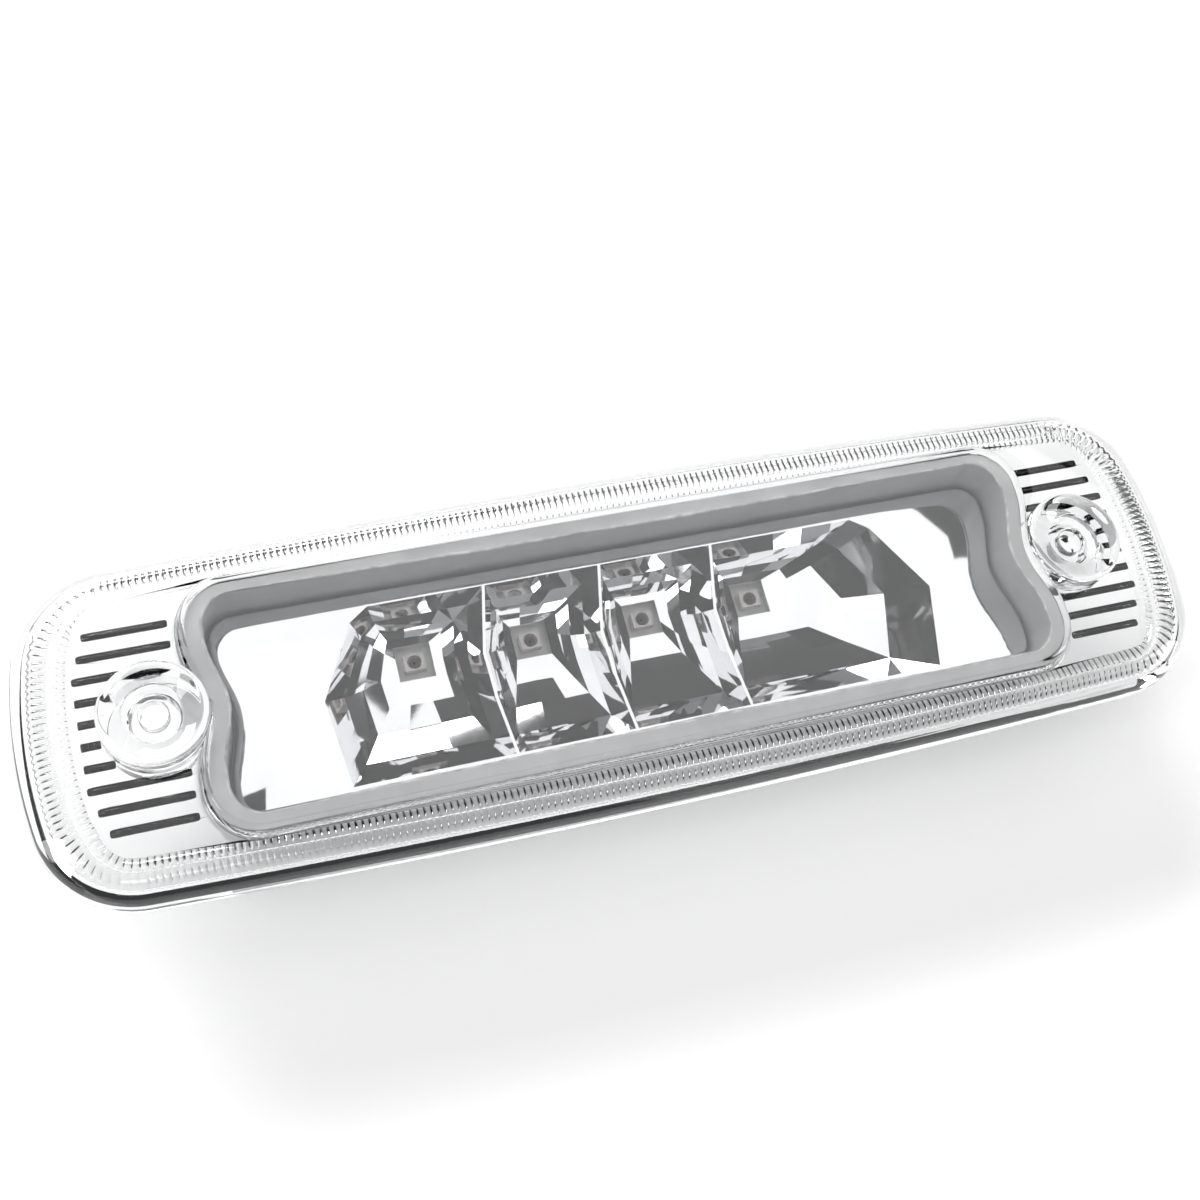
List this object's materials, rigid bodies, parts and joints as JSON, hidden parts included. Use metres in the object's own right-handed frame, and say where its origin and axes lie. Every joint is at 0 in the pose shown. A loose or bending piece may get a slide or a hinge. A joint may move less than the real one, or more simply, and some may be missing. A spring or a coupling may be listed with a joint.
{
  "type": "third brake light",
  "caption": "Clear-lens third brake light: rounded flange, raised window, two screw bosses, faceted reflector and a row of LEDs in a welded housing.",
  "frame": {"origin": "centre of the housing's flat back, which the lamp rests on", "axes": "+X along the lamp, +Y to its upper long edge, +Z out of the lens"},
  "size_m": [0.198, 0.0576, 0.032],
  "materials": {
    "clear_lens": "polished clear plastic",
    "weld_plastic": "melted plastic bead",
    "housing_plastic": "fine moulded texture",
    "membrane": "felted vent membrane",
    "grommet_rubber": "soft matte",
    "reflector_chrome": "vacuum metallised mirror",
    "board": "white solder mask",
    "zinc_steel": "zinc plated",
    "die_red": "cut crystal",
    "tin": "tinned",
    "black_epoxy": "moulded epoxy",
    "red_insulation": "extruded PVC",
    "black_insulation": "extruded PVC",
    "led_white": "moulded white resin",
    "led_window": "clear silicone"
  },
  "bodies": {
    "root": {"lens": "clear_lens", "weld_flash": "weld_plastic", "housing": "housing_plastic", "vent_membrane": "membrane", "wire_grommet": "grommet_rubber", "reflector": "reflector_chrome", "led_board": "board", "board_screws": "zinc_steel", "led_dies": "die_red", "led_contacts": "tin", "resistor_1": "black_epoxy", "resistor_2": "black_epoxy", "polarity_diode": "black_epoxy", "live_lead": "red_insulation", "earth_lead": "black_insulation", "lead_solder": "tin", "led_1_package": "led_white", "led_1_window": "led_window", "led_2_package": "led_white", "led_2_window": "led_window", "led_3_package": "led_white", "led_3_window": "led_window", "led_4_package": "led_white", "led_4_window": "led_window"}
  },
  "joints": []
}
